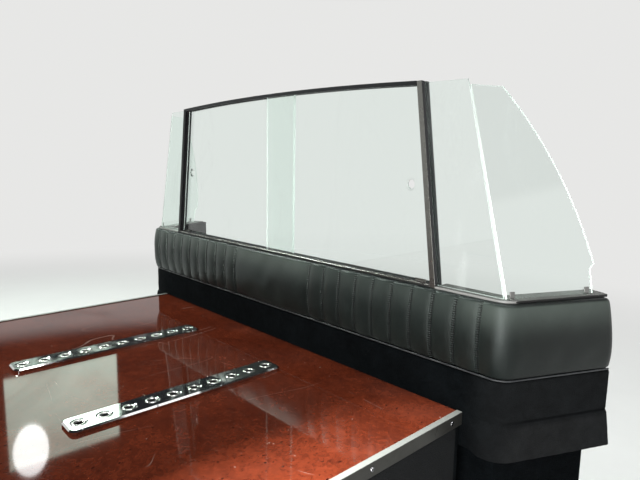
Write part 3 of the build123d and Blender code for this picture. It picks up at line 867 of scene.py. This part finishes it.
def makePad():
    section, along = padSection(), padColumns()
    moves = np.zeros((len(section), len(along), 3))
    coarse, coarseMoves = settlePad(section)
    for row in range(len(section)):
        for k in range(3):
            moves[row, :, k] = np.interp(along, coarse, coarseMoves[row, :, k])
    final = padPoints(along[None, :], section[:, 0][:, None], section[:, 1][:, None]) + moves
    rear = section[:, 0] == -padProud
    padCover.update(along=along, heights=section[rear, 1], points=final[rear])
    pad = swept("pleatedPad", along, section, lambda *_: final, paints["leather"])
    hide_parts("pad")


def padSpot(s, height):
    # a point on the finished rear face
    heights, points = padCover["heights"], padCover["points"]
    row = float(np.interp(height, heights, np.arange(len(heights))))
    low = min(int(row), len(heights) - 2)
    line = points[low] + (points[low + 1] - points[low]) * (row - low)
    return [float(np.interp(s, padCover["along"], line[:, k])) for k in range(3)]


def makeStitches():
    # one bead of thread after another on the left lip of every seam
    points, faces = [], []
    heights = np.arange(padBottom + stitchLook["first"], padTop - stitchLook["last"], stitchLook["pitch"])
    sides = stitchLook["sides"]
    angles = np.linspace(0, 2 * pi, sides + 1)[:-1]
    rings = [(-0.5, 0.45), (-0.3, 1.0), (0.3, 1.0), (0.5, 0.45)]  # share of the length, of the radius
    for seam in [-s for s in seams[::-1]] + seams:
        for height in heights:
            length = stitchLook["length"] * rng.uniform(0.9, 1.1)
            lean = rng.uniform(-0.14, 0.02)
            base = len(points)
            spot = padSpot(seam - stitchLook["offset"] + rng.normal(0, 0.00008), height)
            for share, size in rings:
                for a in angles:
                    out = stitchLook["radius"] * size
                    x = spot[0] + out * cos(a) + lean * share * length
                    y = spot[1] + out * sin(a) * 0.8 - 0.0001
                    points.append((x, y, spot[2] + share * length))
            faces += tubeFaces(base, len(rings), sides)
    newPiece("padStitches", points, faces, [paints["thread"]])
    print("stitches", len(heights) * len(seams) * 2)


weltLook = {"radius": 0.0017, "depth": -0.0052, "hang": 0.0022, "inset": 0.006}


def makeWelt():
    radius, middle = weltLook["radius"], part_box("piping")[1].z - weltLook["hang"]
    angles = np.linspace(0, 2 * pi, 13)[:-1]
    centre = weltLook["depth"]
    section = np.stack([centre + radius * np.cos(angles), middle + radius * np.sin(angles)], axis=1)
    along = np.linspace(weltLook["inset"] - halfLength, halfLength - weltLook["inset"], 700)

    def place(s, depth, height):
        sway = 1 + 0.05 * waves(s, s * 0, 0.05, 11)
        s, depth, height = np.broadcast_arrays(s, centre + (depth - centre) * sway, height)
        x, y = partitionPoint(s, depth)
        return np.stack([x, y, middle + (height - middle) * sway], axis=-1)

    welt = swept("padWelt", along, section, place, paints["welt"])
    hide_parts("piping")


# Carpeted riser below the pad

riserShape = {
    "round": 0.006,
    "endRound": 0.006,
    "fold": 0.330,
    "foldDepth": 0.0026,
    "foldWidth": 0.0022,
    "flare": 0.0125,  # how far the carpet stands off at its foot, on the wings
    "flareRun": 0.068,
    "step": 0.0024,
    "wing": 0.600,  # half width from which the wings' folds set in
}


def makeRiser():
    low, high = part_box("riser")[0].z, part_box("riser")[1].z
    back, front, r = -riserProud, padShape["front"], riserShape["round"]
    section = [(front, low + 0.001), (front - 0.003, low)]
    section += [(d, low) for d in np.linspace(front - 0.008, back + r, 4)]
    section += [(back + r - r * sin(a), low + r - r * cos(a)) for a in np.linspace(0.2, pi / 2, 6)]
    section += [(back, z) for z in np.linspace(low + r + 0.003, high - r - 0.002, 44)]
    section += [(back + r - r * cos(a), high - r + r * sin(a)) for a in np.linspace(0, pi / 2, 6)]
    section += [(d, high) for d in np.linspace(back + r + 0.003, front - 0.001, 4)]
    section += [(front, high - 0.002), (front, (low + high) / 2)]

    def place(s, depth, height):
        s, depth, height = np.broadcast_arrays(s, depth, height)
        rear = np.clip(1 - (depth - back) / 0.012, 0, 1)
        wing = np.clip((np.abs(s) - riserShape["wing"]) / 0.03, 0, 1)
        drop = riserShape["fold"] - height
        below = np.clip(drop / riserShape["flareRun"], 0, 1)
        crease = np.exp(-((drop / riserShape["foldWidth"]) ** 2)) * riserShape["foldDepth"]
        step = np.where(height < riserShape["fold"] - 0.001, riserShape["step"], 0)
        push = wing * (riserShape["flare"] * below + step - crease)
        rough = waves(s, height, 0.045, 21) * 0.0003 + waves(s, height, 0.009, 22) * 0.00012
        end = halfLength - np.abs(s)
        over = np.clip(1 - end / riserShape["endRound"], 0, 1)
        recede = (1 - np.sqrt(np.clip(1 - over**2, 0, 1))) * riserShape["endRound"]
        x, y = partitionPoint(s, depth - (push + rough - recede) * rear)
        return np.stack([x, y, height], axis=-1)

    half = [*np.linspace(0, 0.59, 160, endpoint=False), *np.linspace(0.59, halfLength - 0.008, 130)]
    half = np.array([*half, *(halfLength - 0.008 * (1 - np.linspace(0.1, 1, 8)))])
    along = np.concatenate([-half[:0:-1], half])
    riser = swept("riserCarpet", along, np.array(section), place, paints["carpet"])
    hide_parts("riser")


# Screws

screwLook = {"sides": 24, "slot": 0.16, "reach": 0.56, "dome": 0.32, "sink": 0.30}  # sizes in radii
screwSets = {
    "trim": {"radius": 0.0042, "start": 0.033, "pitch": 0.221, "end": 0.02},
    "tail": {"radius": 0.0042, "inset": 0.03, "count": 6},
    "plate": {"radius": 0.0020, "aside": 0.0275, "sunk": 0.0016, "shares": (0.045, 0.345, 0.655, 0.955)},
    "tray": {"radius": 0.0034, "aside": 0.108, "along": 0.030, "height": 0.3320},
    "floor": {"radius": 0.0045, "wall": 0.005, "inset": 0.03, "along": 0.016, "height": 0.042},
    "bracket": {"radius": 0.0045, "aside": 0.022, "flange": 0.005, "rises": (0.014, 0.056)},
}


def addScrew(points, faces, marks, spot, normal, radius, turn):
    # a low pan head with a sunk cross, built round its own normal
    normal = Vector(normal).normalized()
    across = normal.orthogonal().normalized()
    across.rotate(Matrix.Rotation(turn, 3, normal))
    other = normal.cross(across)
    sides, dome = screwLook["sides"], screwLook["dome"]
    base = len(points)

    def add(x, y, z):
        points.append(tuple(Vector(spot) + across * x * radius + other * y * radius + normal * z * radius))

    rings = [(1.0, -0.05), (0.98, 0.10), (0.88, 0.72 * dome + 0.02), (0.66, dome)]
    for size, height in rings:
        for k in range(sides):
            a = 2 * pi * (k + 0.5) / sides
            add(size * cos(a), size * sin(a), height)
    w, reach = screwLook["slot"], screwLook["reach"]
    cross = [(reach, -w), (reach, w), (w, w), (w, reach), (-w, reach), (-w, w)]
    cross += [(-reach, w), (-reach, -w), (-w, -w), (-w, -reach), (w, -reach), (w, -w)]
    for height in (dome * 1.02, dome * 1.02 - screwLook["sink"]):
        for x, y in cross:
            add(x, y, height)
    sideFaces = tubeFaces(base, len(rings), sides, capped=False)
    faces.extend(sideFaces)
    marks.extend([0] * len(sideFaces))
    edge = base + len(rings) * sides
    ring, sunk = edge - sides, edge + 12
    for k in range(12):
        # each of the twelve cross points spans two steps of the last ring
        nextK = (k + 1) % 12
        r0, r1, r2 = (ring + (2 * k + j - 2) % sides for j in range(3))
        faces.extend([(edge + k, r0, r1), (edge + k, r1, r2), (edge + k, r2, edge + nextK)])
        marks.extend([0, 0, 0])
        # the cross's walls and floor get the second material, a painted shade
        faces.append((edge + k, edge + nextK, sunk + nextK, sunk + k))
        marks.append(1)
    faces.append(tuple(sunk + k for k in range(12)))
    marks.append(1)


screwPlaces = []  # spot, normal, radius


def gatherScrews():
    trimLow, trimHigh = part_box("edge_trim_right")
    legMiddle = (trimLow.z + trimHigh.z) / 2
    look = screwSets["trim"]
    for side in (1, -1):
        y = trimHigh.y - look["start"]
        while y > trimLow.y + look["end"]:
            screwPlaces.append(((side * trimHigh.x, y, legMiddle), (side, 0, 0), look["radius"]))
            y -= look["pitch"]
    look = screwSets["tail"]
    low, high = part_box("tail_trim")
    for x in np.linspace(low.x + look["inset"], high.x - look["inset"], look["count"]):
        screwPlaces.append(((x, low.y, legMiddle), (0, -1, 0), look["radius"]))
    look = screwSets["plate"]
    for plate in plates:
        low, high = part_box(plate)
        middle, length = (low.x + high.x) / 2, high.y - low.y
        for share in look["shares"]:
            for side in (1, -1):
                spot = (middle + side * look["aside"], low.y + share * length, high.z - look["sunk"])
                screwPlaces.append((spot, (side, 0, 1), look["radius"]))
    look = screwSets["tray"]
    for row, sideName in rollers:
        low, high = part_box(f"roller_{row}_{sideName}")
        x, y = (low.x + high.x) / 2, (low.y + high.y) / 2
        for dx in (-look["aside"], look["aside"]):
            for dy in (-look["along"], look["along"]):
                screwPlaces.append(((x + dx, y + dy, look["height"]), (0, 0, 1), look["radius"]))
    look = screwSets["floor"]
    low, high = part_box("floor_brackets")
    for x, side in ((high.x, 1), (low.x, -1)):
        for y in (low.y + look["inset"], high.y - look["inset"]):
            for dy in (-look["along"], look["along"]):
                spot = (x - side * look["wall"], y + dy, look["height"])
                screwPlaces.append((spot, (-side, 0, 0), look["radius"]))
    look = screwSets["bracket"]
    for sideName, side in (("right", 1), ("left", -1)):
        low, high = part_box(f"tail_bracket_{sideName}")
        outer = high.x if side > 0 else low.x
        for rise in look["rises"]:
            spot = (outer - side * look["aside"], high.y - look["flange"], low.z + rise)
            screwPlaces.append((spot, (0, -1, 0), look["radius"]))


def makeScrews():
    gatherScrews()
    points, faces, marks = [], [], []
    for spot, normal, radius in screwPlaces:
        addScrew(points, faces, marks, spot, normal, radius, rng.uniform(0, pi))
    # the screw's steel, and painted shade for its sunk cross
    pair = [paints["screw"], paints["recessShade"]]
    piece = newPiece("fixingScrews", points, faces, pair, smooth=False, faceMaterials=marks)
    print("screws", len(screwPlaces), "faces", len(piece.data.polygons))


# Strips on the rail, painted shade in the pin holes and the shoes of the sliding panes

railLook = {
    "gasket": 0.0030,
    "proud": 0.0009,
    "bead": 0.0013,
    "shoe": 0.026,
    "shoeHeight": 0.0055,
    "sheet": 0.0009,
}


def railStrip(name, lift, height, proud, material, seed):
    # a half-round strip along the rail's rear face
    low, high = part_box("sill_track")
    angles = np.linspace(0, pi, 9)
    half = height / 2
    section = np.stack([-proud * np.sin(angles), half - half * np.cos(angles)], axis=1)
    section = np.vstack([section, [(0.0004, height)], [(0.0004, 0)]])
    along = np.linspace(low.x + 0.001, high.x - 0.001, 260)

    def place(s, depth, z):
        s, depth, z = np.broadcast_arrays(s, depth, z)
        sway = 0.00010 * waves(s, s * 0, 0.06, seed)
        return np.stack([s, low.y + depth + sway, low.z + lift + z], axis=-1)

    swept(name, along, section, place, paints[material])


def makeRailStrips():
    railStrip("railGasket", 0.0001, railLook["gasket"], railLook["proud"], "gasket", 31)
    bead = railLook["bead"]
    railStrip("railBead", railLook["gasket"] + 0.0006, 2 * bead, bead, "bead", 32)


socketLook = {"sides": 26, "outer": 0.00745, "inner": 0.0069, "pitch": 0.0448, "holes": 10, "rim": 0.0030}
# radius and height against the plate's top, from the hole's wall over the lip and back underneath
eyeletLook = [(0.00725, -0.0032), (0.00735, -0.0009), (0.0079, -0.00035), (0.0092, -0.0001),
              (0.0110, -0.00015), (0.0121, -0.0005), (0.0125, -0.0012), (0.0100, -0.0032)]


def addRings(points, x, y, rings):
    # circles of points about an upright axis; gives the first point's number
    base, sides = len(points), socketLook["sides"]
    for radius, z in rings:
        for k in range(sides):
            a = 2 * pi * k / sides
            points.append((x + radius * cos(a), y + radius * sin(a), z))
    return base


def makeSockets():
    # painted shade: a black sleeve fills every pin hole, and a bright eyelet rings it
    points, faces = [], []
    ringPoints, ringFaces = [], []
    sides, turns = socketLook["sides"], len(eyeletLook)
    for plate in plates:
        low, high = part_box(plate)
        x, floor, rim = (low.x + high.x) / 2, low.z + 0.0002, high.z - socketLook["rim"]
        rings = [(socketLook["outer"], floor), (socketLook["outer"], rim)]
        rings += [(socketLook["inner"], rim), (socketLook["inner"], floor + 0.0008)]
        for hole in range(socketLook["holes"]):
            shift = hole - (socketLook["holes"] - 1) / 2
            y = (low.y + high.y) / 2 + shift * socketLook["pitch"]
            faces += tubeFaces(addRings(points, x, y, rings), len(rings), sides)
            base = addRings(ringPoints, x, y, [(radius, high.z + drop) for radius, drop in eyeletLook])
            for r in range(turns):
                step = ((r + 1) % turns - r) * sides
                for k in range(sides):
                    a, b = base + r * sides + k, base + r * sides + (k + 1) % sides
                    ringFaces.append((a, a + step, b + step, b))
    newPiece("pinEyelets", ringPoints, ringFaces, [paints["eyelet"]])
    newPiece("pinSockets", points, faces, [paints["holeShade"]], smooth=False)


def makeShoes():
    # a bright folded strip that grips the foot of each sliding pane beside its post
    points, faces = [], []
    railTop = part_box("sill_track")[1].z
    for sideName, side in (("right", 1), ("left", -1)):
        pane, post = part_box(f"sliding_pane_{sideName}"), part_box(f"post_{sideName}")
        foot = (post[1].x if side > 0 else post[0].x) - side * 0.0135
        middle = foot - side * (0.010 + railLook["shoe"] / 2)
        sheet, height = railLook["sheet"], railLook["shoeHeight"]
        # outline of the folded strip, seen along the rail: a foot, an upright and a rolled top
        inner, outer = pane[0].y - 0.0002, pane[0].y - 0.0002 - sheet
        outline = [(inner, 0.0), (inner, height), (inner - 0.3 * sheet, height + 0.0006)]
        outline += [(outer - 0.2 * sheet, height + 0.0006), (outer - 0.6 * sheet, height)]
        outline += [(outer, height - 0.0012), (outer, 0.0022), (outer - 0.0012, 0.0013)]
        outline += [(outer - 0.0030, 0.0012), (outer - 0.0030, 0.0)]
        base = len(points)
        steps = [-0.5, -0.47, 0.47, 0.5]
        for share in steps:
            ease = 0.0005 if abs(share) > 0.48 else 0.0
            for y, z in outline:
                points.append((middle + share * railLook["shoe"], y, railTop + z - min(ease, z)))
        faces += tubeFaces(base, len(steps), len(outline))
    newPiece("paneShoes", points, faces, [paints["postMetal"]], smooth=False)


# CAD nodes that stay: their materials, softened edges and marked faces

finishes = {
    "burl": ["deck_board"],
    "carpet": ["deck_wall_left", "deck_wall_right", "deck_head_wall", "deck_tail_wall"],
    "cabCarpet": ["partition_board", "kick_wall"],
    "plywood": ["deck_bearers"],
    "trimLitTop": ["edge_trim_left", "edge_trim_right", "tail_trim"],
    "blackAluminium": ["head_track"],
    "chrome": plates,
    "clip": ["glass_clips_left", "glass_clips_right"],
    "railMetal": ["sill_track"],
    "postMetal": ["post_right"],
    "darkPost": ["post_left"],
    "zinc": ["floor_brackets", "roller_trays", "tail_bracket_left", "tail_bracket_right"],
    "turned": ["tail_roller"],
    "ledge": ["sill_cap_left", "sill_cap_right"],
    "glass": ["sliding_pane_left", "sliding_pane_right"],
    "sideGlass": ["quarter_pane_left", "quarter_pane_right", "side_pane_left", "side_pane_right"],
}
bevels = {  # metres; a node not named here keeps its own edges
    "deck_wall_left": 0.004, "deck_wall_right": 0.004, "deck_head_wall": 0.003,
    "deck_tail_wall": 0.003, "partition_board": 0.002, "kick_wall": 0.004,
    "deck_bearers": 0.0012, "edge_trim_left": 0.0004, "edge_trim_right": 0.0004,
    "tail_trim": 0.0004, "head_track": 0.0005, "sill_track": 0.0007, "post_left": 0.0006,
    "post_right": 0.0006, "floor_brackets": 0.0008, "tail_bracket_left": 0.0008,
    "tail_bracket_right": 0.0008, "roller_trays": 0.0004, "glass_clips_left": 0.0006,
    "glass_clips_right": 0.0006, "sill_cap_left": 0.0012, "sill_cap_right": 0.0012,
}
brightLips = {"post_left": 0.0095, "post_right": 0.0095, "sill_track": 0.0035, "head_track": 0.0035}
softening = {"weld": 0.00001, "sharp": radians(40), "wide": 0.0015}  # wider bevels get one more step
sleeveHalf = 0.0853


def paneEdges(node):
    # faces that don't lie in the pane's plane get the ground edge, with its painted highlight
    mesh = nodes[node].data
    mesh.materials.append(paints["edge"])
    faceOut = max(mesh.polygons, key=lambda f: f.area).normal.copy()
    for face in mesh.polygons:
        face.material_index = 1 if abs(face.normal.dot(faceOut)) < 0.7 else 0


def pileFaces(node, lip):
    # the grooves, a post's sides and all that lies deeper than the bright lip get the black pile paint
    mesh = nodes[node].data
    mesh.materials.append(paints["pile"])
    rear = min(v.co.y for v in mesh.vertices)
    for face in mesh.polygons:
        sideways = "post" in node and abs(face.normal.x) > 0.9
        face.material_index = 1 if sideways or face.center.y - rear > lip else 0


def paintTrimShade(node):
    # painted shade: the leg that stands down the wall gets a darker copy of the top leg's aluminium
    mesh = nodes[node].data
    mesh.materials.append(paints["trimShadedSide"])
    for face in mesh.polygons:
        face.material_index = 0 if face.normal.z > 0.6 else 1


def ledgeFaces(node):
    # painted highlight: the narrow faces that stand upright round a ledge are painted pale; its ends are
    # painted black
    mesh = nodes[node].data
    mesh.materials.append(paints["ledgeEdgeHighlight"])
    mesh.materials.append(paints["gasket"])
    for face in mesh.polygons:
        face.material_index = 0 if abs(face.normal.z) > 0.5 else 2 if abs(face.normal.x) > 0.9 else 1


def dressNodes():
    for finish, members in finishes.items():
        for node in members:
            nodes[node].data.materials.clear()
            nodes[node].data.materials.append(paints[finish])
    for row, side in rollers:
        node = f"roller_{row}_{side}"
        low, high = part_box(node)
        nodes[node].data.materials.clear()
        sleeve = rubberPaint(f"sleeve{row}{side}", (low.x + high.x) / 2, sleeveHalf)
        nodes[node].data.materials.append(sleeve)
    for node in finishes["glass"] + finishes["sideGlass"]:
        paneEdges(node)
    for node, lip in brightLips.items():
        pileFaces(node, lip)
    for node in finishes["ledge"]:
        ledgeFaces(node)
    for node in finishes["trimLitTop"]:
        paintTrimShade(node)
    for node, width in bevels.items():
        weld = nodes[node].modifiers.new("weld", "WELD")
        weld.merge_threshold = softening["weld"]
        bevel = nodes[node].modifiers.new("softEdge", "BEVEL")
        bevel.width = width
        bevel.segments = 3 if width > softening["wide"] else 2
        bevel.limit_method = "ANGLE"
        bevel.angle_limit = softening["sharp"]
        shade = nodes[node].modifiers.new("shade", "WEIGHTED_NORMAL")
        shade.keep_sharp = False


# Studio floor and sky

studioLook = {
    "pale": (0.80, 0.80, 0.79),
    "overhead": (0.022, 0.023, 0.025),
    "skyEdge": (0.274, 0.302),  # height in the sky at which pale turns to dark
    "daylight": 0.16,
    "radius": 30.0,
    "sides": 64,
    "drop": 0.0006,  # of the floor below the object
    "haze": (1.6, 4.2),
}


def floorPaint():
    # the floor meets the pale horizon far out, and is a plain lit floor near the object
    p = Paint("studioFloor")
    grain = p.noise(6, 4, 0.6)
    colour = p.mix(grain, (0.74, 0.74, 0.73), studioLook["pale"])
    plain = p.shader(base_color=colour, roughness=0.85, normal=p.bump(grain, 0.0002, 0.3))
    far = p.make("ShaderNodeVectorMath", {"operation": "LENGTH"}, {0: p.place}, "Value")
    haze = p.make("ShaderNodeEmission", None, {"Color": (*studioLook["pale"], 1)})
    share = p.fade(far, *studioLook["haze"]) * p.seenRay()
    return p.finish(p.make("ShaderNodeMixShader", None, {0: share, 1: plain, 2: haze}))


def makeStudio():
    radius, sides, level = studioLook["radius"], studioLook["sides"], -studioLook["drop"]
    turns = [2 * pi * k / sides for k in range(sides)]
    points = [(0, 0, level)] + [(radius * cos(a), radius * sin(a), level) for a in turns]
    faces = [(0, k + 1, (k + 1) % sides + 1) for k in range(sides)]
    mesh = bpy.data.meshes.new("studioFloor")
    mesh.from_pydata(points, [], faces)
    mesh.materials.append(floorPaint())
    floor = bpy.data.objects.new("studioFloor", mesh)
    scene.collection.objects.link(floor)
    scene.world = bpy.data.worlds.new("studio")
    p = Paint("studio", scene.world)
    height = p.axis("Z")
    sky = p.mix(p.fade(height, *studioLook["skyEdge"]), studioLook["pale"], studioLook["overhead"])
    seen = p.make("ShaderNodeBackground", None, {"Color": sky})
    dim = {"Color": (0.94, 0.97, 1.0, 1), "Strength": studioLook["daylight"]}
    light = p.make("ShaderNodeBackground", None, dim)
    mixed = p.make("ShaderNodeMixShader", None, {0: p.seenRay(), 1: light, 2: seen})
    p.make("ShaderNodeOutputWorld", None, {"Surface": mixed})


placeCamera()
makeStudio()
print("studio")
makePad()
makeStitches()
makeWelt()
print("pad", round(halfLength, 4))
makeRiser()
print("riser")
makeScrews()
makeRailStrips()
makeSockets()
makeShoes()
print("fittings")
dressNodes()
print("dressed")
placeLamps()
print("lamps", len(lamps))
